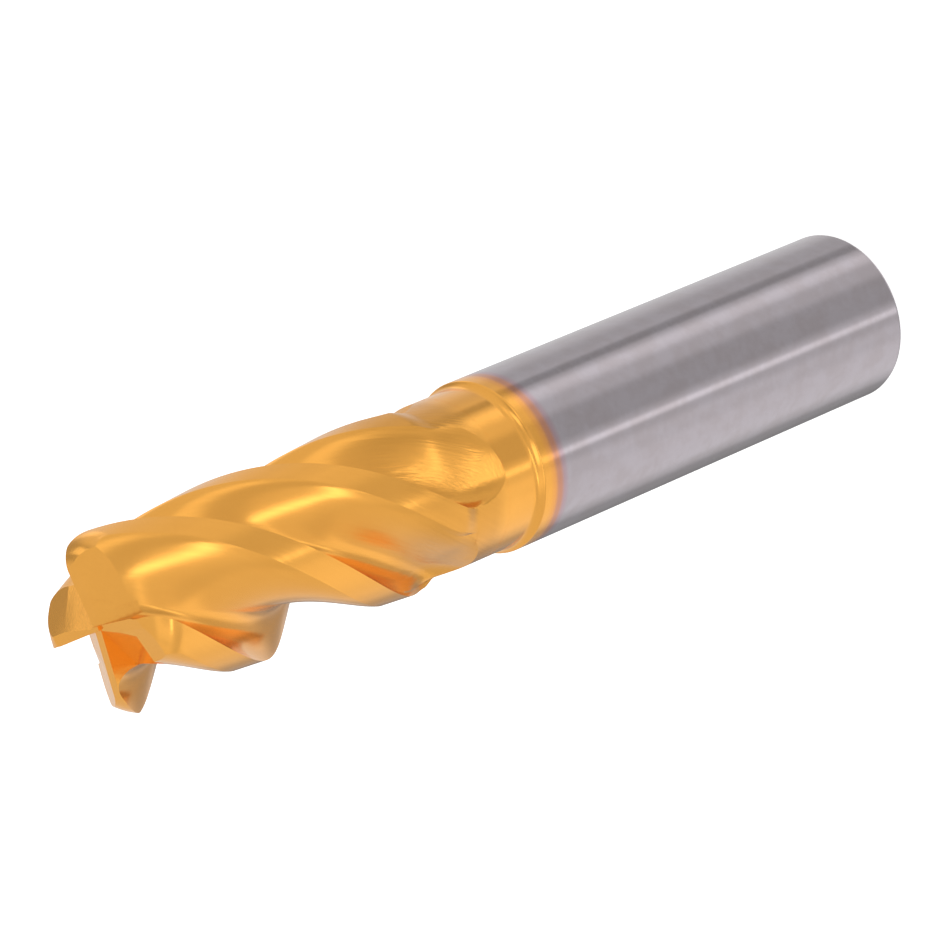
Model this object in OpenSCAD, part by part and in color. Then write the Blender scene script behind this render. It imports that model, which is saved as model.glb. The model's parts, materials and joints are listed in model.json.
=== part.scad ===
// Solid carbide end mill, four flutes, corner radius, relieved neck.
// The tool axis is +Z. The origin is the centre of the shank's end face.
// The tool is ground from one rod: the nodes are its named regions, and they meet face to face.

/* [Shank] */
// Diameter of the shank
shank_d = 12.7; // [10:0.1:20]
// Chamfer round the shank's end
end_chamfer = 0.4; // [0.1:0.05:1]
// Overall length
overall_l = 76.2; // [70:0.1:100]

/* [Neck] */
// Diameter of the relieved neck
neck_d = 11.9; // [9:0.1:12]
// Height at which the coating starts
coat_z = 38.1; // [30:0.1:38.5]
// Height of the corner where the shank meets the shoulder
shoulder_z = 39.3; // [38.6:0.1:39.5]
// Height at which the shoulder has come down to the neck
neck_z = 40.1; // [39.6:0.1:41]

/* [Cutting end] */
// Diameter over the cutting edges
cut_d = 12.7; // [10:0.1:20]
// Height at which the two longer flutes begin
flute_z = 42.5; // [41.5:0.1:43]
// Height round which those flutes ease into the helix
turn_z = 46.4; // [45:0.1:47]
// Height at which those flutes reach their full depth
depth_z = 54; // [46:0.1:60]
// How much higher the first flute begins
first_step = 1.8; // [0:0.1:3]
// How much higher the third flute begins
third_step = 1; // [0:0.1:3]
// How much higher these two shorter flutes start to turn
turn_step = 1; // [0:0.1:3]
// How far the sides of a run-out stay behind its middle
runout_nose = 1.8; // [0.5:0.1:3]
// Height at which the lands rise from the neck
land_z = 45.6; // [44:0.1:47]
// Length over which the lands rise to the full diameter
land_rise = 1.6; // [0.5:0.1:2]
// Helix angle at the cutting edges
helix_angle = 38; // [25:1:45]
// Corner radius of the end teeth
corner_r = 2.1; // [0.3:0.1:3]

/* [Flute section] */
// Diameter of the web between the flutes, as a share of the cutting diameter
web_share = 0.5; // [0.4:0.01:0.6]
// Radius in the bottom of a flute, as a share of the cutting radius
bottom_share = 0.25; // [0.15:0.01:0.35]
// Radial rake angle of the cutting faces
rake_angle = 8; // [0:1:12]
// Width of a land, as an angle round the axis
land_angle = 20.5; // [15:0.5:30]
// How far a land has dropped at its heel, as a share of the cutting radius
land_drop = 0.035; // [0.01:0.005:0.08]
// How far the arc in the bottom of a flute goes on under the back of the tooth in front
back_arc = 10; // [5:1:20]
// Steepness of the back where it comes up to the heel
heel_turn = 70; // [50:1:80]

/* [End teeth] */
// Clearance of the narrow strip behind each end edge
first_clearance = 8; // [3:1:12]
// Clearance of the face behind that strip on the first tooth
first_back_clearance = 20; // [12:1:30]
// Clearance of the face behind that strip on the other teeth
back_clearance = 30; // [12:1:35]
// Fall of the end edges towards the middle
dish_angle = 2.5; // [0:0.5:5]
// Width of the narrow strip
strip_w = 0.8; // [0.3:0.1:1.5]
// Slope of the gash floors
gash_angle = 33; // [20:1:45]
// Tilt of the gash floors in front of the two long end edges
gash_tilt = 6.5; // [0:0.5:10]
// Width of the gashes in front of the two long end edges
long_gash_w = 3.2; // [1:0.1:4]
// Width of the gash in front of the second tooth's end edge
second_gash_w = 0.9; // [0.5:0.1:3]
// Width of the gash in front of the fourth tooth's end edge
fourth_gash_w = 2; // [0.5:0.1:3]

/* [Hidden] */
steel = "#a9a1a8";
heat_tint = "#c98a3c";
gold = "#dfa040";
dark_gold = "#c07a2c";

$fn = 96;
R = cut_d / 2;
shank_r = shank_d / 2;
neck_r = neck_d / 2;
web_r = web_share * R;
bottom_r = bottom_share * R;
lead_rate = tan(helix_angle) / R * 180 / PI;   // degrees of turn per millimetre

// Angles of the four cutting edges, carried on to the tip plane
EDGE = [0, -99.5, -188.3, -274.6];
// Angles of the four end edges, and how far each lies ahead of the line through the centre
END_EDGE = [-8.8, -104, -195.4, -278.5];
AHEAD = [0.33, 0.25, 0.33, 0.12];
// The first and third teeth have the long end edges, which cross the centre
LONG = [true, false, true, false];
BACK_CLEARANCE = [first_back_clearance, back_clearance, back_clearance, back_clearance];
GASH_W = [long_gash_w, second_gash_w, long_gash_w, fourth_gash_w];
short_start = 0.9;
long_start = 0.1;
long_floor = 0.2;
short_floor = 0.25;
// Neighbouring cuts run into each other by this much, and by this angle
overlap = 0.03;
overlap_angle = 0.3;
// The second and fourth flutes are the longer ones
STEP_UP = [first_step, 0, third_step, 0];
TURN_UP = [turn_step, 0, turn_step, 0];
turn_ease = 0.5;

function after(i) = (i + 1) % 4;
function next_edge(i) = i == 3 ? EDGE[0] - 360 : EDGE[i + 1];
function gap(i) = EDGE[i] - next_edge(i);
function polar(r, a) = [r * cos(a), r * sin(a)];

// One flute, in the frame of the tooth whose cutting face it has, whose edge is at (R, 0)
rake_dir = [-cos(rake_angle), -sin(rake_angle)];
rake_side = [-sin(rake_angle), cos(rake_angle)];
start_pt = [R, 0] + bottom_r * rake_side;
along = start_pt * rake_dir;
face_l = -along - sqrt(along * along - start_pt * start_pt + pow(web_r + bottom_r, 2));
bottom_c = start_pt + face_l * rake_dir;
web_a = atan2(bottom_c[1], bottom_c[0]);
arc_start = atan2(-rake_side[1], -rake_side[0]);

// A point of the curve from a to d that leaves a towards b and comes to d from c
function bezier(a, b, c, d, t) =
    let (u = 1 - t)
    u * u * u * a + 3 * u * u * t * b + 3 * u * t * t * c + t * t * t * d;

FACE_STEPS = 5;
BACK_STEPS = 7;
LAND_STEPS = 4;
// From the deepest point of the flute to the cutting edge
face_arc_begin = web_a - 180;
face_points = [
    for (k = [0:FACE_STEPS - 1])
        bottom_c + polar(bottom_r, face_arc_begin + (arc_start - face_arc_begin) * k / (FACE_STEPS - 1)),
    ([R, 0] + bottom_c + polar(bottom_r, arc_start)) / 2,
    [R, 0]
];
// From the heel of the tooth in front down to the deepest point
back_pull = 0.3;
function back_points(g) =
    let (
        foot_a = face_arc_begin - back_arc,
        heel_a = g - land_angle,
        foot = bottom_c + polar(bottom_r, foot_a),
        heel = polar(R * (1 - land_drop), heel_a),
        pull = back_pull * norm(heel - foot),
        over_foot = foot + pull * [sin(foot_a), -cos(foot_a)],
        under_heel = heel - polar(pull, heel_a + heel_turn)
    )
    [
        for (k = [0:BACK_STEPS]) bezier(heel, under_heel, over_foot, foot, k / BACK_STEPS),
        bottom_c + polar(bottom_r, face_arc_begin - back_arc / 2),
        bottom_c + polar(bottom_r, face_arc_begin)
    ];
// Largest radius that the section may have at a height
function eased(t) = t * t * (3 - 2 * t);
function envelope(z) =
    z < land_z ? neck_r
    : z < land_z + land_rise ? neck_r + (R - neck_r) * eased((z - land_z) / land_rise)
    : z > overall_l - corner_r
        ? R - corner_r + sqrt(max(0, corner_r * corner_r - pow(z - overall_l + corner_r, 2)))
    : R;
// How far a heel lies below that radius
function heel_drop(z) =
    R * land_drop * (z < land_z + land_rise ? (envelope(z) - neck_r) / (R - neck_r) : 1);
// How far up to the neck's surface a flute has left the metal, from 0 to 1, at a height measured
// from where it begins. The middle of its run-out, where it is deepest, reaches lower than the sides.
full_depth = neck_r - web_r;
function risen(r, h) =
    let (low = flute_z + runout_nose * (r - web_r) / full_depth)
    r > neck_r || h > depth_z ? 0 : pow((depth_z - h) / (depth_z - low), 2);
// Turn of flute f at a height, which eases out of the helix near the flute's beginning
function turn(z, f) =
    let (past = (z - turn_z - TURN_UP[f]) / 2)
    lead_rate * (z - past + norm([past, turn_ease]) - overall_l);
// Point p of flute f, in the frame of that flute's edge, at a height. Its angle comes to flat with it,
// and it stays inside the given radius.
function raised(p, z, f, flat, limit) =
    let (
        share = risen(norm(p), z - STEP_UP[f]),
        r = min(norm(p) + share * (neck_r - norm(p)), limit),
        own = atan2(p[1], p[0]),
        a = own + min(share, 1) * (flat - own) + EDGE[f] + turn(z, f)
    )
    [r * cos(a), r * sin(a), z];
function side_of_face(z, f) =
    let (n = len(face_points) - 1)
    [for (k = [0:n]) raised(face_points[k], z, f, web_a * (1 - k / n), envelope(z))];
function side_of_back(z, f, g) =
    [for (p = back_points(g)) raised(p, z, f, atan2(p[1], p[0]), envelope(z) - heel_drop(z))];
// The points between the edge and the heel of tooth i
function land(z, i) =
    let (width = land_angle + turn(z, i) - turn(z, after(i)))
    [
        for (k = [1:LAND_STEPS - 1]) let (s = k / LAND_STEPS)
            [each polar(envelope(z) - heel_drop(z) * s, EDGE[i] + turn(z, i) - width * s), z]
    ];
// The whole outline of tooth i, from one flute bottom over the land to the next
function tooth_ring(z, i) =
    concat(side_of_face(z, i), land(z, i), side_of_back(z, after(i), gap(i)));

RUNOUT_RINGS = 28;
BODY_RINGS = 24;
CORNER_RINGS = 7;
body_top = overall_l - corner_r;
full_z = depth_z + first_step;
HEIGHTS = [
    for (k = [0:RUNOUT_RINGS]) flute_z + (full_z - flute_z) * k / RUNOUT_RINGS,
    for (k = [1:BODY_RINGS]) full_z + (body_top - full_z) * k / BODY_RINGS,
    for (k = [1:CORNER_RINGS]) body_top + corner_r * sin(90 * k / CORNER_RINGS)
];

// The two triangles of a side patch, from corner a to the next corner b, split one way or the other
function patch(a, b, n, slant) =
    slant ? [[a, b, a + n], [b, b + n, a + n]] : [[a, b + n, a + n], [a, b, b + n]];
// A solid through rings of points, closed by a fan from a point inside each end
module lofted(rings, bottom_mid, top_mid, slant = false) {
    n = len(rings[0]);
    m = len(rings);
    points = concat([for (ring = rings) for (p = ring) p], [bottom_mid, top_mid]);
    sides = [
        for (j = [0:m - 2]) for (k = [0:n - 1]) each patch(j * n + k, j * n + (k + 1) % n, n, slant)
    ];
    bottom = [for (k = [0:n - 1]) [m * n, (k + 1) % n, k]];
    top = [for (k = [0:n - 1]) [m * n + 1, (m - 1) * n + k, (m - 1) * n + (k + 1) % n]];
    polyhedron(points, concat(sides, bottom, top), convexity = 8);
}

// A point inside the tooth's end, seen from its edge
tip_mid = polar(0.62 * R, -28);
rim_share = 0.9;
module tooth_blank(i) {
    low_turn = (turn(flute_z, i) + turn(flute_z, after(i))) / 2;
    rim_mid = polar(rim_share * neck_r, EDGE[i] - gap(i) / 2 + web_a + low_turn);
    lofted(
        [for (z = HEIGHTS) tooth_ring(z, i)],
        [each rim_mid, flute_z],
        raised(tip_mid, overall_l, i, 0, R)
    );
}

// The web: a twisted square bar whose edges run along the bottoms of the flutes
module core_blank() {
    deepest = polar(web_r, web_a);
    lofted(
        [for (z = HEIGHTS) [for (i = [0:3]) raised(deepest, z, i, web_a, envelope(z))]],
        [0, 0, flute_z],
        [0, 0, overall_l],
        slant = true
    );
}

// The plan of the sector behind end edge i, up to the next end edge's line, seen with the edge along +X
function sector(i, next) =
    let (
        far = 2 * R,
        mine = AHEAD[i],
        other = AHEAD[after(i)],
        corner = polar(other, next + 90) + polar((mine - other * cos(next)) / sin(next), next)
    )
    [
        corner + polar(overlap, next / 2 + 180),
        [far, mine],
        polar(sqrt(2) * far, next / 2),
        corner + polar(far, next - overlap_angle)
    ];
// Everything above the clearance faces behind end edge i
module clearance_cut(i) {
    far = 2 * R;
    drop_1 = strip_w * tan(first_clearance);
    drop_2 = drop_1 + (far - strip_w) * tan(BACK_CLEARANCE[i]);
    next = END_EDGE[after(i)] - END_EDGE[i] - (i == 3 ? 360 : 0);
    translate([0, 0, overall_l]) rotate([0, 0, END_EDGE[i]]) intersection() {
        translate([R - corner_r, AHEAD[i], 0]) rotate([0, -dish_angle, 0])
            translate([corner_r - R, 0, 0]) rotate([90, 0, 90])
            translate([0, 0, -far]) linear_extrude(2 * far)
            polygon([[0, 0], [0, R], [-far, R], [-far, -drop_2], [-strip_w, -drop_1]]);
        translate([0, 0, -far]) linear_extrude(2 * far) polygon(sector(i, next));
    }
}

// The gash that makes the cutting face of end edge i. Its near wall stays upright when its floor tilts.
module gash_cut(i) {
    start = LONG[i] ? long_start : short_start;
    floor = LONG[i] ? long_floor : short_floor;
    tilt = LONG[i] ? gash_tilt : 0;
    lean = [[1, 0, 0, 0], [0, 1, tan(tilt), 0], [0, 0, 1, 0]];
    translate([0, 0, overall_l]) rotate([0, 0, END_EDGE[i]])
        translate([start, AHEAD[i], -floor]) rotate([0, gash_angle, 0]) rotate([tilt, 0, 0])
        multmatrix(lean) cube([2 * R, GASH_W[i], 2 * R]);
}

module end_cuts() {
    for (i = [0:3]) {
        clearance_cut(i);
        gash_cut(i);
    }
}

module tooth(i) {
    color(i % 2 == 0 ? gold : dark_gold) difference() {
        tooth_blank(i);
        end_cuts();
    }
}

module shank() {
    color(steel) rotate_extrude()
        polygon([
            [0, 0], [shank_r - end_chamfer, 0], [shank_r, end_chamfer], [shank_r, coat_z], [0, coat_z]
        ]);
}

module coating_band() {
    color(heat_tint) translate([0, 0, coat_z]) cylinder(r = shank_r, h = shoulder_z - coat_z);
}

module shoulder() {
    color(gold) translate([0, 0, shoulder_z])
        cylinder(r1 = shank_r, r2 = neck_r, h = neck_z - shoulder_z);
}

module neck() {
    color(gold) translate([0, 0, neck_z]) cylinder(r = neck_r, h = flute_z - neck_z);
}

module core() {
    color(dark_gold) difference() {
        core_blank();
        end_cuts();
    }
}

module tooth_1() { tooth(0); }
module tooth_2() { tooth(1); }
module tooth_3() { tooth(2); }
module tooth_4() { tooth(3); }

shank();
coating_band();
shoulder();
neck();
core();
tooth_1();
tooth_2();
tooth_3();
tooth_4();
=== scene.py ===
import json
import math

import bmesh
import bpy
import numpy as np
from mathutils import Matrix, Vector

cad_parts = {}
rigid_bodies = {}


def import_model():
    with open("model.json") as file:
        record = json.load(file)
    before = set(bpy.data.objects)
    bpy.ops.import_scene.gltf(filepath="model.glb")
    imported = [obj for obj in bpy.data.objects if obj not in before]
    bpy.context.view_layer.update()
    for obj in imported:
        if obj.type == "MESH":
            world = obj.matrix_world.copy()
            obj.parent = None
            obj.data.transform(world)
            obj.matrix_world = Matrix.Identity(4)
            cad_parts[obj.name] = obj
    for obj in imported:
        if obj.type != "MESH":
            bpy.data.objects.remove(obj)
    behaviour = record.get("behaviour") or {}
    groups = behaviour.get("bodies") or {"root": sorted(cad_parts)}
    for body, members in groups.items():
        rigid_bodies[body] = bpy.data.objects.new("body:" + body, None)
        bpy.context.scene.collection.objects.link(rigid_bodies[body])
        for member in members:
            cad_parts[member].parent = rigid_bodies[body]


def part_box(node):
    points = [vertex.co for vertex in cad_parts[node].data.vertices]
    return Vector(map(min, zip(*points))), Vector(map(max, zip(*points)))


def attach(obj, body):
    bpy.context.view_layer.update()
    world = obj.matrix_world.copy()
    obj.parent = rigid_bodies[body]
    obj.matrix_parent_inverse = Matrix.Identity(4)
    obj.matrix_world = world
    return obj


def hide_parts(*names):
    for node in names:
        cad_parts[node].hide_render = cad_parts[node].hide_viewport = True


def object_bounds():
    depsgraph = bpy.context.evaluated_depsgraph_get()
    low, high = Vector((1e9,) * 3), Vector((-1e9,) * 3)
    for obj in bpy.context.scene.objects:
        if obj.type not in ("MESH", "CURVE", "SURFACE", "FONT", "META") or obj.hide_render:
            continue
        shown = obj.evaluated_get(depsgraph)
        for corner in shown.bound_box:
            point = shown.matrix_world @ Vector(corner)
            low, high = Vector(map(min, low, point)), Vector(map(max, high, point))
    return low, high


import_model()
cad_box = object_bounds()

MM = 0.001
SHANK_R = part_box("shank")[1][0] / MM
COAT_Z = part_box("coating_band")[0][2] / MM
SHOULDER_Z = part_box("shoulder")[0][2] / MM
NECK_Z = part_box("neck")[0][2] / MM
FLUTE_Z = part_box("core")[0][2] / MM
TOP_Z = cad_box[1][2] / MM
NECK_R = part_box("neck")[1][0] / MM
R = SHANK_R

# ---------------------------------------------------------------- camera
CAMERA_AZIMUTH = -97.94
CAMERA_ELEVATION = 41.82
CAMERA_ROLL = -113.057
CAMERA_DISTANCE = 398.33
CAMERA_TARGET = Vector((-0.353, 0.050, 39.909))
LENS = 214.94


def from_angles(azimuth, elevation):
    a, e = math.radians(azimuth), math.radians(elevation)
    return Vector((math.cos(e) * math.cos(a), math.cos(e) * math.sin(a), math.sin(e)))


def camera_axes():
    """The picture's right, its up and the direction back to the camera."""
    back = from_angles(CAMERA_AZIMUTH, CAMERA_ELEVATION)
    a, roll = math.radians(CAMERA_AZIMUTH), math.radians(CAMERA_ROLL)
    side = Vector((-math.sin(a), math.cos(a), 0))
    right = side * math.cos(roll) + back.cross(side) * math.sin(roll)
    return right, back.cross(right), back


def add_camera():
    right, up, back = camera_axes()
    cam = bpy.data.objects.new("camera", bpy.data.cameras.new("camera"))
    bpy.context.scene.collection.objects.link(cam)
    cam.matrix_world = Matrix.Translation((CAMERA_TARGET + back * CAMERA_DISTANCE) * MM) @ Matrix(
        (right, up, back)).transposed().to_4x4()
    cam.data.lens = LENS
    cam.data.sensor_width = 36
    cam.data.clip_start = 0.01
    cam.data.clip_end = 10
    bpy.context.scene.camera = cam


# ---------------------------------------------------------------- mesh helpers
def new_object(name, mesh):
    obj = bpy.data.objects.new(name, mesh)
    bpy.context.scene.collection.objects.link(obj)
    return obj


def shade(mesh, sharp=10):
    mesh.shade_smooth()
    mesh.set_sharp_from_angle(angle=math.radians(sharp))


def lathe(name, profile, steps=240):
    """A closed solid turned about the tool axis; the profile is (r, z) from the axis to the axis."""
    bm = bmesh.new()
    rings = []
    for r, z in profile:
        if r < 1e-6:
            rings.append([bm.verts.new((0, 0, z * MM))])
            continue
        rings.append([bm.verts.new((r * MM * math.cos(2 * math.pi * k / steps),
                                    r * MM * math.sin(2 * math.pi * k / steps), z * MM))
                      for k in range(steps)])
    for low, high in zip(rings, rings[1:]):
        for k in range(steps):
            j = (k + 1) % steps
            corners = [low[k % len(low)], low[j % len(low)], high[j % len(high)], high[k % len(high)]]
            bm.faces.new(list(dict.fromkeys(corners)))
    bmesh.ops.recalc_face_normals(bm, faces=bm.faces)
    mesh = bpy.data.meshes.new(name)
    bm.to_mesh(mesh)
    bm.free()
    return new_object(name, mesh)


# ---------------------------------------------------------------- flute section
# Heights and lengths are in millimetres from the shank's end, and angles in degrees unless turned
# into radians here. Lists give one value for each tooth, or for the flute in front of it.
TEETH = 4
EDGE = [0, -99.5, -188.3, -274.6]           # azimuths of the cutting edges at the tip
END_EDGE = [-8.8, -104, -195.4, -278.5]     # azimuths of the edges on the end face
LONG = [True, False, True, False]           # end edges that reach past the centre
AHEAD = [0.33, 0.25, 0.33, 0.12]            # how far each end edge lies ahead of its radius
DISH = math.radians(2.5)
STEP_UP = [1.8, 0, 1.0, 0]                  # how much higher a flute's run-out ends
TURN_UP, TURN_EASE = [1.0, 0, 1.0, 0], 0.5
TURN_Z, DEPTH_Z, RUNOUT_NOSE = 46.4, 54.0, 1.8
LAND_Z, LAND_RISE = 45.6, 1.6
CORNER_R = 2.1
HELIX = math.radians(38)
LEAD_RATE = math.tan(HELIX) / R             # radians of turn for each millimetre of height
WEB_R, BOTTOM_R = 0.5 * R, 0.25 * R
RAKE = math.radians(8)
LAND_ANGLE, LAND_DROP = math.radians(20.5), 0.035
# How far the flute's bottom arc goes on under the back, and how steeply the back comes up to the heel
BACK_ARC, HEEL_TURN = 10, 70
CURVE_N, BACK_PULL = 200, 0.3               # points in a dense curve, and the pull of its handles


def polar(r, a):
    return np.stack([r * np.cos(a), r * np.sin(a)], -1)


rake_dir = np.array([-math.cos(RAKE), -math.sin(RAKE)])
rake_side = np.array([-math.sin(RAKE), math.cos(RAKE)])
start_pt = np.array([R, 0]) + BOTTOM_R * rake_side
along = start_pt @ rake_dir
face_l = -along - math.sqrt(along ** 2 - start_pt @ start_pt + (WEB_R + BOTTOM_R) ** 2)
bottom_c = start_pt + face_l * rake_dir
WEB_A = math.atan2(bottom_c[1], bottom_c[0])


def arc_points(a, b, n):
    return bottom_c + polar(BOTTOM_R, np.linspace(a, b, n))


def face_curve():
    """From the deepest point of the flute to the cutting edge, in the frame of that edge."""
    begin = WEB_A - math.pi
    end = math.atan2(-rake_side[1], -rake_side[0])
    if end < begin - math.pi:
        end += 2 * math.pi
    arc = arc_points(begin, end, CURVE_N)
    line = arc[-1] + np.linspace(0, 1, CURVE_N)[1:, None] * (np.array([R, 0]) - arc[-1])
    return np.concatenate([arc, line])


def back_curve(gap):
    """From the deepest point up the back of the tooth in front, to its heel."""
    begin = WEB_A - math.pi
    end = begin - math.radians(BACK_ARC)
    arc = arc_points(begin, end, CURVE_N)
    heel_a = gap - LAND_ANGLE
    heel = R * (1 - LAND_DROP) * np.array([math.cos(heel_a), math.sin(heel_a)])
    leave = np.array([math.sin(end), -math.cos(end)])
    arrive_a = heel_a + math.radians(HEEL_TURN)
    arrive = np.array([math.cos(arrive_a), math.sin(arrive_a)])
    span = np.hypot(*(heel - arc[-1]))
    p0, p3 = arc[-1], heel
    p1 = p0 + BACK_PULL * span * leave
    p2 = p3 - BACK_PULL * span * arrive
    t = np.linspace(0, 1, CURVE_N)[1:, None]
    curve = (1 - t) ** 3 * p0 + 3 * (1 - t) ** 2 * t * p1 + 3 * (1 - t) * t ** 2 * p2 + t ** 3 * p3
    return np.concatenate([arc, curve])


def envelope(z):
    """The outer radius: the neck's, then the land's, then the rounded corner's."""
    if z < LAND_Z:
        return NECK_R
    if z < LAND_Z + LAND_RISE:
        t = (z - LAND_Z) / LAND_RISE
        return NECK_R + (R - NECK_R) * t * t * (3 - 2 * t)
    if z > TOP_Z - CORNER_R:
        return R - CORNER_R + math.sqrt(max(0.0, CORNER_R ** 2 - (z - TOP_Z + CORNER_R) ** 2))
    return R


def relief(z):
    """How far the heel of a land lies below its edge."""
    risen = (envelope(z) - NECK_R) / (R - NECK_R) if z < LAND_Z + LAND_RISE else 1.0
    return R * LAND_DROP * risen


def turn(z, f):
    """The azimuth of edge f, which eases out of its helix where the wheel leaves the metal."""
    past = (z - TURN_Z - TURN_UP[f]) / 2
    return math.radians(EDGE[f]) + LEAD_RATE * (z - past + math.hypot(past, TURN_EASE) - TOP_Z)


def resample(curve, limit, fractions):
    """Points of a dense curve between its start and the share limit of its length."""
    steps = np.hypot(*np.diff(curve, axis=0).T)
    length = np.concatenate([[0], np.cumsum(steps)])
    at = fractions * limit * length[-1]
    return np.stack([np.interp(at, length, curve[:, 0]), np.interp(at, length, curve[:, 1])], -1)


def raised(points, h, is_face):
    """Radius and angle of flute points at a height, lifted out of the metal along the run-out."""
    r = np.hypot(points[:, 0], points[:, 1])
    a = np.arctan2(points[:, 1], points[:, 0])
    low = FLUTE_Z + RUNOUT_NOSE * (r - WEB_R) / (NECK_R - WEB_R)
    share = np.where((r > NECK_R) | (h > DEPTH_Z), 0.0,
                     np.clip((DEPTH_Z - h) / (DEPTH_Z - low), 0, 1) ** 2)
    if is_face:
        flat = WEB_A * (1 - np.sqrt(np.clip((r - WEB_R) / (R - WEB_R), 0, 1)))
        a = a + share * (flat - a)
    return r + share * (NECK_R - r), a


def crossing(curve, h, limit_r, is_face):
    """The share of the curve's length at which the raised flute reaches the outer surface."""
    r, _ = raised(curve, h, is_face)
    steps = np.hypot(*np.diff(curve, axis=0).T)
    length = np.concatenate([[0], np.cumsum(steps)])
    length = length / length[-1]
    over = np.nonzero(r >= limit_r - 1e-5)[0]
    if len(over) == 0:
        return 1.0
    k = over[0]
    if k == 0:
        return 0.0
    t = (limit_r - r[k - 1]) / max(r[k] - r[k - 1], 1e-9)
    return float(length[k - 1] + min(max(t, 0), 1) * (length[k] - length[k - 1]))


FACE_N, LAND_N, BACK_N = 40, 14, 56
LEAST_SHARE = 0.02                          # so that a side never shrinks to nothing
NEAR_SEAM = np.array([0, 0.002, 0.006, 0.014])
AFTER_SEAM = 0.03


def fractions(n):
    """Shares of a curve's length, closer together at the seam with the core."""
    rest = np.linspace(AFTER_SEAM, 1, n - len(NEAR_SEAM))
    return np.concatenate([NEAR_SEAM, rest])


def gap_behind(i):
    """The angle from cutting edge i back to the next one."""
    following = EDGE[0] - 360 if i == TEETH - 1 else EDGE[i + 1]
    return math.radians(EDGE[i] - following)


face_base = face_curve()
back_base = [back_curve(gap_behind(i)) for i in range(TEETH)]


def tooth_ring(z, i):
    """One cross-section of tooth i: its cutting face, its land and its back."""
    j = (i + 1) % TEETH
    gap = gap_behind(i)
    env, drop = envelope(z), relief(z)
    # face of this tooth
    h = z - STEP_UP[i]
    share = max(crossing(face_base, h, env, True), LEAST_SHARE)
    pts = resample(face_base, share, fractions(FACE_N))
    r, a = raised(pts, h, True)
    face_r, face_a = np.minimum(r, env), a + turn(z, i)
    # back of this tooth, which is a side of the next flute
    h = z - STEP_UP[j]
    share = max(crossing(back_base[i], h, env - drop, False), LEAST_SHARE)
    pts = resample(back_base[i], share, fractions(BACK_N))
    r, a = raised(pts, h, False)
    shift = turn(z, j) - (2 * math.pi if i == TEETH - 1 else 0)
    back_r, back_a = np.minimum(r, env - drop), a + shift
    # land between them
    k = np.linspace(0, 1, LAND_N + 2)[1:-1]
    land_a = face_a[-1] + (back_a[-1] - face_a[-1]) * k
    edge_a = turn(z, i)
    heel_a = shift + gap - LAND_ANGLE
    behind = np.clip((edge_a - land_a) / max(edge_a - heel_a, 1e-6), 0, 1)
    land_r = env - drop * behind
    rr = np.concatenate([face_r, land_r, back_r[::-1]])
    aa = np.concatenate([face_a, land_a, back_a[::-1]])
    return np.stack([rr * np.cos(aa), rr * np.sin(aa), np.full(len(rr), z)], -1)


# Steps in each nose, up the land's rise and round the corner, and the plain rings between them
NOSE_STEPS, RISE_STEPS, CORNER_STEPS, BODY_RINGS = 14, 12, 14, 145
CLOSE_Z, BODY_Z, CLOSE_STEP = 46.8, 52.0, 0.15
LEAST_GAP = 0.008


def ring_heights():
    """The heights of the cross-sections, closest where the shape changes fastest."""
    z = [LAND_Z + LAND_RISE * k / RISE_STEPS for k in range(RISE_STEPS + 1)]
    for step in sorted(set(STEP_UP)):
        z += [FLUTE_Z + step + RUNOUT_NOSE * (k / NOSE_STEPS) ** 2 for k in range(NOSE_STEPS + 1)]
        z.append(TURN_Z + step)
    z += list(np.arange(CLOSE_Z, BODY_Z, CLOSE_STEP))
    z += list(np.linspace(BODY_Z, TOP_Z - CORNER_R, BODY_RINGS))
    quarter = [math.radians(90 * k / CORNER_STEPS) for k in range(1, CORNER_STEPS + 1)]
    z += [TOP_Z - CORNER_R + CORNER_R * math.sin(a) for a in quarter]
    z = sorted(z)
    keep = [z[0]]
    for v in z[1:]:
        if v - keep[-1] > LEAST_GAP:
            keep.append(v)
    if keep[-1] < TOP_Z - 1e-6:
        keep[-1] = TOP_Z
    return keep


HEIGHTS = ring_heights()


def loft(name, rings):
    """A closed solid through cross-sections that all have the same number of points."""
    m, n = len(rings), len(rings[0])
    verts = np.concatenate(rings) * MM
    faces = []
    for j in range(m - 1):
        for k in range(n):
            a, b = j * n + k, j * n + (k + 1) % n
            faces.append((a, b, b + n, a + n))
    faces.append(tuple(range(n - 1, -1, -1)))
    faces.append(tuple(range((m - 1) * n, m * n)))
    mesh = bpy.data.meshes.new(name)
    mesh.from_pydata([tuple(v) for v in verts], [], faces)
    bm = bmesh.new()
    bm.from_mesh(mesh)
    bmesh.ops.recalc_face_normals(bm, faces=bm.faces)
    bmesh.ops.triangulate(bm, faces=[f for f in bm.faces if len(f.verts) > 4])
    bm.to_mesh(mesh)
    bm.free()
    return new_object(name, mesh)


CORE_INSIDE, CORE_BULGE = 0.02, 0.05


def core_ring(z):
    """The core's square section, a hair inside the flutes and a hair into the teeth."""
    deepest = polar(np.array([WEB_R]), np.array([WEB_A]))
    corners = []
    for f in range(TEETH):
        r, a = raised(deepest, z - STEP_UP[f], False)
        corners.append(polar(min(r[0], envelope(z)) - CORE_INSIDE, a[0] + turn(z, f)))
    ring = []
    for f in range(TEETH):
        side = (corners[f] + corners[f + 1 - TEETH]) / 2
        ring += [corners[f], side * (1 + CORE_BULGE / np.hypot(*side))]
    return np.array([[x, y, z] for x, y in ring])


# ---------------------------------------------------------------- end cuts
# Behind each end edge lies a narrow strip with a small clearance, then a face with a larger one
STRIP_W, FIRST = 0.8, math.radians(8)
SECOND = [math.radians(a) for a in (20, 20, 30, 33)]
GASH = math.radians(33)
GASH_W = [3.2, 0.9, 3.2, 2.0]
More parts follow.
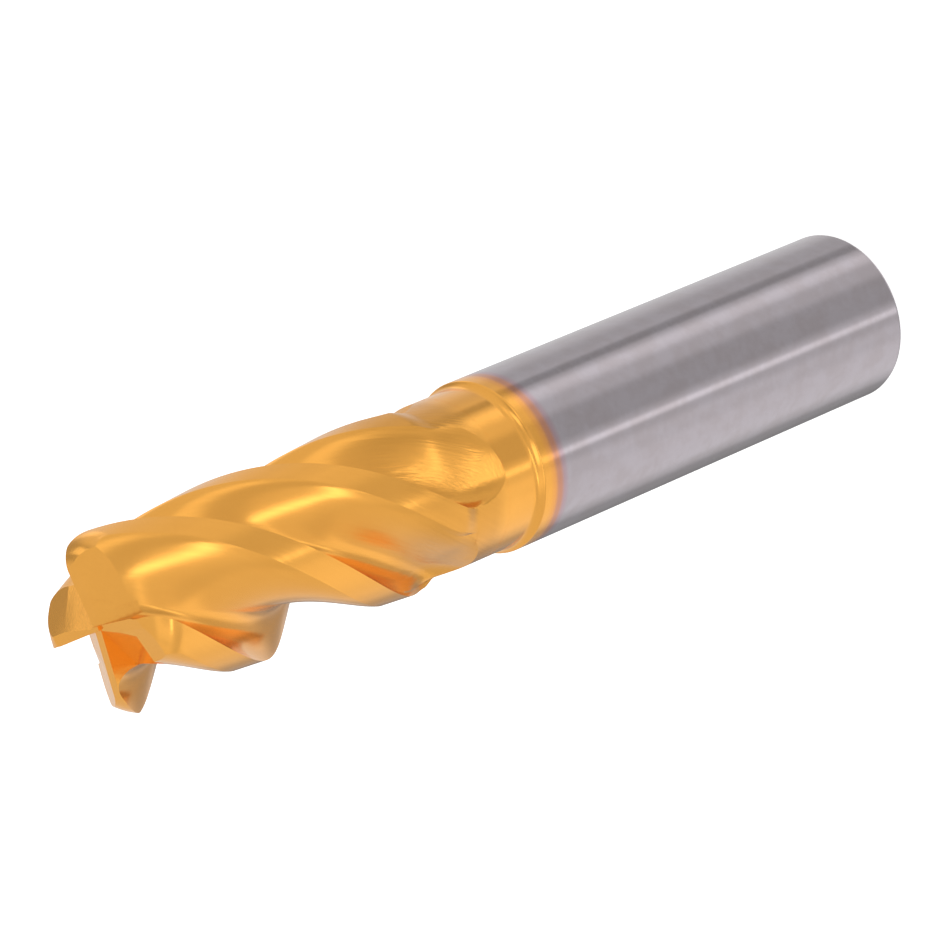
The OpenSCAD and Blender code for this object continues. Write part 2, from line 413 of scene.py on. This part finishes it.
# The rest is by whether the end edge is a long one
GASH_START = {True: 0.1, False: 0.9}
GASH_FLOOR = {True: 0.2, False: 0.25}
GASH_TILT = {True: math.radians(6.5), False: 0}
FAR = 2 * R                                 # beyond the tool on every side


def hull_object(name, points, place):
    bm = bmesh.new()
    for p in points:
        bm.verts.new(p)
    bmesh.ops.convex_hull(bm, input=bm.verts)
    bmesh.ops.recalc_face_normals(bm, faces=bm.faces)
    bm.transform(place)
    mesh = bpy.data.meshes.new(name)
    bm.to_mesh(mesh)
    bm.free()
    return new_object(name, mesh)


def at_end(i):
    return (Matrix.Translation((0, 0, TOP_Z * MM)) @ Matrix.Rotation(math.radians(END_EDGE[i]), 4, "Z")
            @ Matrix.Scale(MM, 4))


SECTOR_OVERLAP, DIAGONAL = 0.03, 1.414


def clearance_cutters(i):
    """The material above the two clearance planes behind end edge i."""
    j = (i + 1) % TEETH
    nxt = math.radians(END_EDGE[j] - END_EDGE[i] - (360 if i == TEETH - 1 else 0))
    d1 = STRIP_W * math.tan(FIRST)
    d2 = d1 + (FAR - STRIP_W) * math.tan(SECOND[i])
    ahead = AHEAD[j]
    along = np.array([math.cos(nxt), math.sin(nxt)])
    across = np.array([-math.sin(nxt), math.cos(nxt)])
    # the corner where this edge's line meets the next edge's line
    t = (AHEAD[i] - ahead * across[1]) / along[1]
    corner = ahead * across + t * along
    middle = np.array([math.cos(nxt / 2), math.sin(nxt / 2)])
    inner = SECTOR_OVERLAP * np.array([math.cos(nxt / 2 + math.pi), math.sin(nxt / 2 + math.pi)])
    plan = [corner + inner, np.array([FAR, AHEAD[i]]), DIAGONAL * FAR * middle, corner + FAR * along]
    prism = new_prism("sector", plan, -FAR, FAR, at_end(i))
    dished = (at_end(i) @ Matrix.Translation((R - CORNER_R, AHEAD[i], 0)) @ Matrix.Rotation(-DISH, 4, "Y")
              @ Matrix.Translation((CORNER_R - R, 0, 0)))
    outline = [(0, 0), (0, R), (-FAR, R), (-FAR, -d2), (-STRIP_W, -d1)]
    profile = new_profile("slopes", outline, FAR, dished)
    boolean(profile, prism, "INTERSECT")
    bpy.data.objects.remove(prism)
    return profile


def prism_mesh(name, loop_a, loop_b, place):
    bm = bmesh.new()
    a = [bm.verts.new(p) for p in loop_a]
    b = [bm.verts.new(p) for p in loop_b]
    n = len(a)
    bm.faces.new(a)
    bm.faces.new(b[::-1])
    for k in range(n):
        bm.faces.new((a[k], b[k], b[(k + 1) % n], a[(k + 1) % n]))
    bmesh.ops.recalc_face_normals(bm, faces=bm.faces)
    bm.transform(place)
    mesh = bpy.data.meshes.new(name)
    bm.to_mesh(mesh)
    bm.free()
    return new_object(name, mesh)


def new_prism(name, plan, z0, z1, place):
    return prism_mesh(name, [(p[0], p[1], z0) for p in plan], [(p[0], p[1], z1) for p in plan], place)


def new_profile(name, pts, far, place):
    return prism_mesh(name, [(-far, y, z) for y, z in pts], [(far, y, z) for y, z in pts], place)


def boolean(obj, other, operation):
    mod = obj.modifiers.new("cut", "BOOLEAN")
    mod.operation = operation
    mod.solver = "EXACT"
    if isinstance(other, bpy.types.Collection):
        mod.operand_type = "COLLECTION"
        mod.collection = other
        mod.use_self = False
    else:
        mod.object = other
    deps = bpy.context.evaluated_depsgraph_get()
    mesh = bpy.data.meshes.new_from_object(obj.evaluated_get(deps))
    obj.modifiers.clear()
    obj.data = mesh


def gash_cutter(i):
    long = LONG[i]
    width, tilt = GASH_W[i], math.tan(GASH_TILT[long])
    # its near wall stays upright although the floor is tilted
    corners = [(x, y + z * tilt, z) for x in (0, FAR) for y in (0, width) for z in (0, FAR)]
    place = (at_end(i) @ Matrix.Translation((GASH_START[long], AHEAD[i], -GASH_FLOOR[long]))
             @ Matrix.Rotation(GASH, 4, "Y") @ Matrix.Rotation(GASH_TILT[long], 4, "X"))
    return hull_object("gash", corners, place)


# ---------------------------------------------------------------- node helpers
class Net:
    """Short names for the few shader nodes used below; sockets and numbers may be mixed freely."""

    def __init__(self, tree):
        self.tree = tree

    def node(self, kind, inputs=(), **settings):
        node = self.tree.nodes.new("ShaderNode" + kind)
        for key, value in settings.items():
            setattr(node, key, value)
        for socket, value in zip(node.inputs, inputs):
            self.feed(socket, value)
        return node

    def feed(self, socket, value):
        if isinstance(value, bpy.types.NodeSocket):
            self.tree.links.new(value, socket)
        elif value is not None:
            socket.default_value = value

    def math(self, operation, a, b=0.0, c=0.0):
        return self.node("Math", (a, b, c), operation=operation).outputs[0]

    def vector(self, operation, a, b=(0, 0, 0)):
        return self.node("VectorMath", (a, b), operation=operation).outputs[0]

    def dot(self, a, b):
        return self.node("VectorMath", (a, b), operation="DOT_PRODUCT").outputs[1]

    def scale(self, a, k):
        node = self.node("VectorMath", (a,), operation="SCALE")
        self.feed(node.inputs["Scale"], k)
        return node.outputs[0]

    def combine(self, x, y, z):
        return self.node("CombineXYZ", (x, y, z)).outputs[0]

    def split(self, v):
        return self.node("SeparateXYZ", (v,)).outputs

    def smooth(self, value, low, high):
        """0 below low and 1 above high, with an eased step between."""
        return self.node("MapRange", (value, low, high, 0.0, 1.0), interpolation_type="SMOOTHSTEP").outputs[0]

    def remap(self, value, low, high):
        return self.node("MapRange", (value, 0.0, 1.0, low, high)).outputs[0]

    def noise(self, vector, scale, detail=3.0, roughness=0.5):
        node = self.node("TexNoise")
        for name, value in (("Vector", vector), ("Scale", scale), ("Detail", detail), ("Roughness", roughness)):
            self.feed(node.inputs[name], value)
        return node.outputs["Fac"]

    def mix(self, share, a, b):
        node = self.node("Mix", data_type="RGBA")
        for socket, value in ((node.inputs[0], share), (node.inputs[6], a), (node.inputs[7], b)):
            self.feed(socket, value)
        return node.outputs[2]

    def blend(self, share, a, b):
        """Plain numbers mixed: a where share is 0, b where it is 1."""
        node = self.node("Mix", data_type="FLOAT")
        for socket, value in ((node.inputs[0], share), (node.inputs[2], a), (node.inputs[3], b)):
            self.feed(socket, value)
        return node.outputs[0]


# ---------------------------------------------------------------- materials
GREY_A, GREY_B = (0.47, 0.43, 0.46, 1), (0.44, 0.395, 0.415, 1)
MAUVE, ROSE, ORANGE = (0.47, 0.34, 0.37, 1), (0.60, 0.29, 0.19, 1), (0.85, 0.38, 0.10, 1)
# Where each colour of the coating's edge begins and ends to take over, from the edge towards the tip
TINTS = [(-1.4, -0.8, MAUVE), (-0.9, -0.4, ROSE), (-0.3, 0.2, ORANGE)]
GOLD_BEGINS, GOLD_ENDS = 0.1, 0.7
GOLD_A, GOLD_B = (0.97, 0.465, 0.09, 1), (0.90, 0.415, 0.074, 1)
# darker copies of the gold, a painted shade for the run-outs
GOLD_PAINTED_SHADE_A, GOLD_PAINTED_SHADE_B = (0.84, 0.40, 0.075, 1), (0.74, 0.34, 0.06, 1)
BUMP_DEPTH = 0.02 * MM
FLUTE_BLEND = 1.5                           # height over which the flutes' lines take over
# below COARSE_Z the run-outs also get the painted shade
FINE_Z, COARSE_Z = 52.5, 49.0               # fine grinding above, coarse below
COARSE_ROUGHNESS, COARSE_DEPTH = 0.045, 4.5


def new_material(name):
    mat = bpy.data.materials.new(name)
    mat.use_nodes = True
    mat.node_tree.nodes.clear()
    net = Net(mat.node_tree)
    bsdf = net.node("BsdfPrincipled")
    bsdf.inputs["Metallic"].default_value = 1
    net.node("OutputMaterial", (bsdf.outputs[0],))
    place = net.scale(net.node("TexCoord").outputs["Object"], 1 / MM)
    return mat, net, bsdf, place


def heat_tint(net, z, grey, gold):
    """The coating's edge: grey carbide through mauve and rose to orange and gold."""
    colour = grey
    for begins, ends, tint in TINTS:
        colour = net.mix(net.smooth(z, COAT_Z + begins, COAT_Z + ends), colour, tint)
    return net.mix(net.smooth(z, COAT_Z + GOLD_BEGINS, COAT_Z + GOLD_ENDS), colour, gold)


def rings_round(net, x, y, z, scale):
    """Noise drawn out round the tool's axis, as grinding on centres leaves it."""
    return net.noise(net.combine(net.math("MULTIPLY", x, 0.1), net.math("MULTIPLY", y, 0.1), z), scale)


def add_bump(net, bsdf, strength, height):
    bump = net.node("Bump")
    for name, value in (("Strength", strength), ("Distance", BUMP_DEPTH), ("Height", height)):
        net.feed(bump.inputs[name], value)
    net.feed(bsdf.inputs["Normal"], bump.outputs[0])


def carbide_material():
    mat, net, bsdf, place = new_material("ground_carbide")
    bsdf.inputs["Anisotropic"].default_value = 0.8
    x, y, z = net.split(place)
    patches = net.noise(place, 0.45, 4.0, 0.6)
    grey = net.mix(net.smooth(patches, 0.35, 0.65), GREY_A, GREY_B)
    net.feed(bsdf.inputs["Base Color"], heat_tint(net, z, grey, ORANGE))
    rings = rings_round(net, x, y, z, 14.0)
    net.feed(bsdf.inputs["Roughness"], net.remap(rings, 0.13, 0.21))
    net.feed(bsdf.inputs["Tangent"], net.combine(0.0, 0.0, 1.0))
    add_bump(net, bsdf, 0.08, rings)
    return mat


def gold_material():
    mat, net, bsdf, place = new_material("gold_coating")
    bsdf.inputs["Metallic"].default_value = 0.9
    bsdf.inputs["Anisotropic"].default_value = 0.4
    x, y, z = net.split(place)
    # the same point turned back by the helix, so the grinding lines run along the flutes
    turned = net.math("MULTIPLY", z, -LEAD_RATE)
    c, s = net.math("COSINE", turned), net.math("SINE", turned)
    u = net.math("SUBTRACT", net.math("MULTIPLY", x, c), net.math("MULTIPLY", y, s))
    v = net.math("ADD", net.math("MULTIPLY", x, s), net.math("MULTIPLY", y, c))
    fluted = net.smooth(z, FLUTE_Z, FLUTE_Z + FLUTE_BLEND)
    along_flute = net.noise(net.combine(u, v, net.math("MULTIPLY", z, 0.03)), 5.0, 4.0)
    around = rings_round(net, x, y, z, 12.0)
    lines = net.blend(fluted, around, along_flute)
    patches = net.noise(place, 0.35, 2.0)
    gold = net.mix(net.blend(0.5, lines, patches), GOLD_A, GOLD_B)
    # the run-outs get a painted shade: their gold is darker than the flutes', and their lines are deeper
    coarse_and_painted_shade = net.math("MULTIPLY", fluted, net.smooth(z, FINE_Z, COARSE_Z))
    gold = net.mix(coarse_and_painted_shade, gold, net.mix(lines, GOLD_PAINTED_SHADE_A, GOLD_PAINTED_SHADE_B))
    net.feed(bsdf.inputs["Base Color"], heat_tint(net, z, ROSE, gold))
    roughness = net.math("MULTIPLY_ADD", coarse_and_painted_shade, COARSE_ROUGHNESS, net.remap(lines, 0.12, 0.22))
    net.feed(bsdf.inputs["Roughness"], roughness)
    # the highlight is drawn out across the lines: along the axis on the neck, across the helix above it
    helix = net.combine(net.math("MULTIPLY", y, -LEAD_RATE), net.math("MULTIPLY", x, LEAD_RATE), 1.0)
    across = net.vector("CROSS_PRODUCT", net.node("NewGeometry").outputs["Normal"], helix)
    share = net.node("Mix", data_type="VECTOR")
    for socket, value in ((share.inputs[0], fluted), (share.inputs[4], (0, 0, 1)), (share.inputs[5], across)):
        net.feed(socket, value)
    net.feed(bsdf.inputs["Tangent"], net.vector("NORMALIZE", share.outputs[1]))
    height = net.math("MULTIPLY", lines, net.math("MULTIPLY_ADD", coarse_and_painted_shade, COARSE_DEPTH, 1.0))
    add_bump(net, bsdf, 0.22, height)
    return mat


def floor_material():
    mat = bpy.data.materials.new("pale_floor")
    mat.use_nodes = True
    bsdf = mat.node_tree.nodes["Principled BSDF"]
    bsdf.inputs["Base Color"].default_value = (0.9, 0.9, 0.9, 1)
    bsdf.inputs["Roughness"].default_value = 1
    bsdf.inputs["Emission Color"].default_value = (1, 1, 1, 1)
    bsdf.inputs["Emission Strength"].default_value = 0.7
    return mat


# ---------------------------------------------------------------- studio
# Soft panels round the tool, seen from its middle: bearing from the camera, height above the
# picture's horizontal, half width, half height, softness of the edge (degrees), and brightness.
AMBIENT = 0.8
PANELS = [
    (122, 22, 30, 14, 6, 1.0),
    (125, 5, 25, 12, 6, 0.60),
    (88, 28, 9, 14, 5, 0.50),
    (70, 30, 12, 17, 8, 0.64),
    (150, 0, 10, 12, 6, 0.40),
    (5, -8, 18, 16, 8, 0.72),
    (-45, 12, 35, 22, 8, 0.50),
    (2, -9, 9, 10, 4, 1.9),
    (-12, 29, 9, 10, 4, 1.5),
    (70, -36, 10, 14, 6, 0.72),
    (112, -26, 28, 12, 5, 1.03),
    (91, -12, 11, 8, 4, 1.0),
    (165, -20, 14, 12, 6, 0.42),
    (173, -10, 11, 7, 4, 0.28),
    (66, 6, 20, 3, 2, 1.15),
    (114, 61, 12, 7, 3, 1.22),
    (148, 62, 10, 6, 4, 0.34),
    (168, 45, 14, 15, 6, 0.64),
    (-175, 26, 8, 14, 8, 0.78),
    (22, 27, 22, 15, 8, 0.66),
    (5, 55, 18, 10, 8, 1.08),
    (18, -34, 30, 10, 8, 1.02),
    (-115, 20, 22, 18, 8, 0.45),
    (-97, 25, 9, 8, 2, 1.15),
    (-150, 44, 12, 9, 5, 1.2),
    (42, -9, 2.9, 22, 3, 2.5),
    (88, 6, 5, 2.5, 1.5, 1.6),
    (76, 5, 2, 2, 1.5, 1.8),
]


def studio_world():
    """A white sky with the panels laid over each other in order."""
    world = bpy.data.worlds.new("studio")
    world.use_nodes = True
    net = Net(world.node_tree)
    ray = net.node("TexCoord").outputs["Generated"]
    right, up, back = (net.dot(ray, tuple(axis)) for axis in camera_axes())
    bearing = net.math("DEGREES", net.math("ARCTAN2", right, back))
    height = net.math("DEGREES", net.math("ARCSINE", up))
    light = AMBIENT
    for at, over, half_w, half_h, soft, level in PANELS:
        off = net.math("ABSOLUTE", net.math("WRAP", net.math("SUBTRACT", bearing, at), 180.0, -180.0))
        rise = net.math("ABSOLUTE", net.math("SUBTRACT", height, over))
        inside = net.math("MULTIPLY", net.smooth(off, half_w + soft, half_w - soft),
                          net.smooth(rise, half_h + soft, half_h - soft))
        light = net.blend(inside, light, level)
    sky = world.node_tree.nodes["Background"]
    net.feed(sky.inputs["Color"], (1, 1, 1, 1))
    net.feed(sky.inputs["Strength"], light)
    return world


# ---------------------------------------------------------------- build
carbide, gold = carbide_material(), gold_material()


def finish_piece(obj, mat, slot, *nodes):
    obj.data.materials.clear()
    obj.data.materials.append(mat)
    shade(obj.data)
    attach(obj, "root")
    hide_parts(*nodes)


cutters = bpy.data.collections.new("cutters")
bpy.context.scene.collection.children.link(cutters)
for i in range(TEETH):
    for cut in (clearance_cutters(i), gash_cutter(i)):
        bpy.context.scene.collection.objects.unlink(cut)
        cutters.objects.link(cut)

for i in range(TEETH):
    tooth = loft(f"ground_tooth_{i + 1}", [tooth_ring(z, i) for z in HEIGHTS])
    boolean(tooth, cutters, "DIFFERENCE")
    finish_piece(tooth, gold, "coating", f"tooth_{i + 1}")
core = loft("ground_core", [core_ring(z) for z in HEIGHTS])
boolean(core, cutters, "DIFFERENCE")
# a hair below the teeth, so that no two faces lie in the same place
CORE_LOWER = 0.002
core.data.transform(Matrix.Translation((0, 0, -CORE_LOWER * MM)))
finish_piece(core, gold, "coating", "core")
for cut in list(cutters.objects):
    bpy.data.objects.remove(cut)
bpy.data.collections.remove(cutters)

CHAMFER = 0.4
shank = lathe("ground_shank", [(0, 0), (SHANK_R - CHAMFER, 0), (SHANK_R - 0.05, CHAMFER - 0.05),
                               (SHANK_R, CHAMFER + 0.1), (SHANK_R, COAT_Z), (0, COAT_Z)])
finish_piece(shank, carbide, "carbide", "shank")
# The shoulder's corner is rounded over two pieces, and a hollow fillet leads down to the neck
ROUND_R, ROUND_TURN, ROUND_STEPS, FILLET_STEPS = 0.25, 48, 6, 16
ROUND_Z = SHOULDER_Z - 0.12


def round_over(first, last):
    """Points of the rounding between two angles of turn away from the shank's side."""
    turns = [math.radians(first + (last - first) * k / ROUND_STEPS) for k in range(ROUND_STEPS + 1)]
    return [(SHANK_R - ROUND_R * (1 - math.cos(t)), ROUND_Z + ROUND_R * math.sin(t)) for t in turns]


seam = math.degrees(math.asin((SHOULDER_Z - ROUND_Z) / ROUND_R))
band = lathe("ground_coating_band", [(0, COAT_Z), (SHANK_R, COAT_Z), *round_over(0, seam), (0, SHOULDER_Z)])
finish_piece(band, gold, "coating_edge", "coating_band")
upper = round_over(seam, ROUND_TURN)
foot_r, foot_z = upper[-1]
power = math.tan(math.radians(ROUND_TURN)) * (NECK_Z - foot_z) / (foot_r - NECK_R)
parts = [k / FILLET_STEPS for k in range(1, FILLET_STEPS + 1)]
fillet = [(NECK_R + (foot_r - NECK_R) * (1 - t) ** power, foot_z + (NECK_Z - foot_z) * t) for t in parts]
shoulder = lathe("ground_shoulder", [(0, SHOULDER_Z), *upper, *fillet, (0, NECK_Z)])
finish_piece(shoulder, gold, "coating", "shoulder")
neck = lathe("ground_neck", [(0, NECK_Z), (NECK_R, NECK_Z), (NECK_R, FLUTE_Z), (0, FLUTE_Z)])
finish_piece(neck, gold, "coating", "neck")

# ---------------------------------------------------------------- stage
FLOOR = 3
floor_mesh = bpy.data.meshes.new("floor")
floor_corners = [(-FLOOR, -FLOOR, 0), (FLOOR, -FLOOR, 0), (FLOOR, FLOOR, 0), (-FLOOR, FLOOR, 0)]
floor_mesh.from_pydata(floor_corners, [], [(0, 1, 2, 3)])
floor = new_object("floor", floor_mesh)
floor.data.materials.append(floor_material())
floor.visible_glossy = False

bpy.context.scene.world = studio_world()
bpy.context.scene.view_settings.view_transform = "Standard"

add_camera()
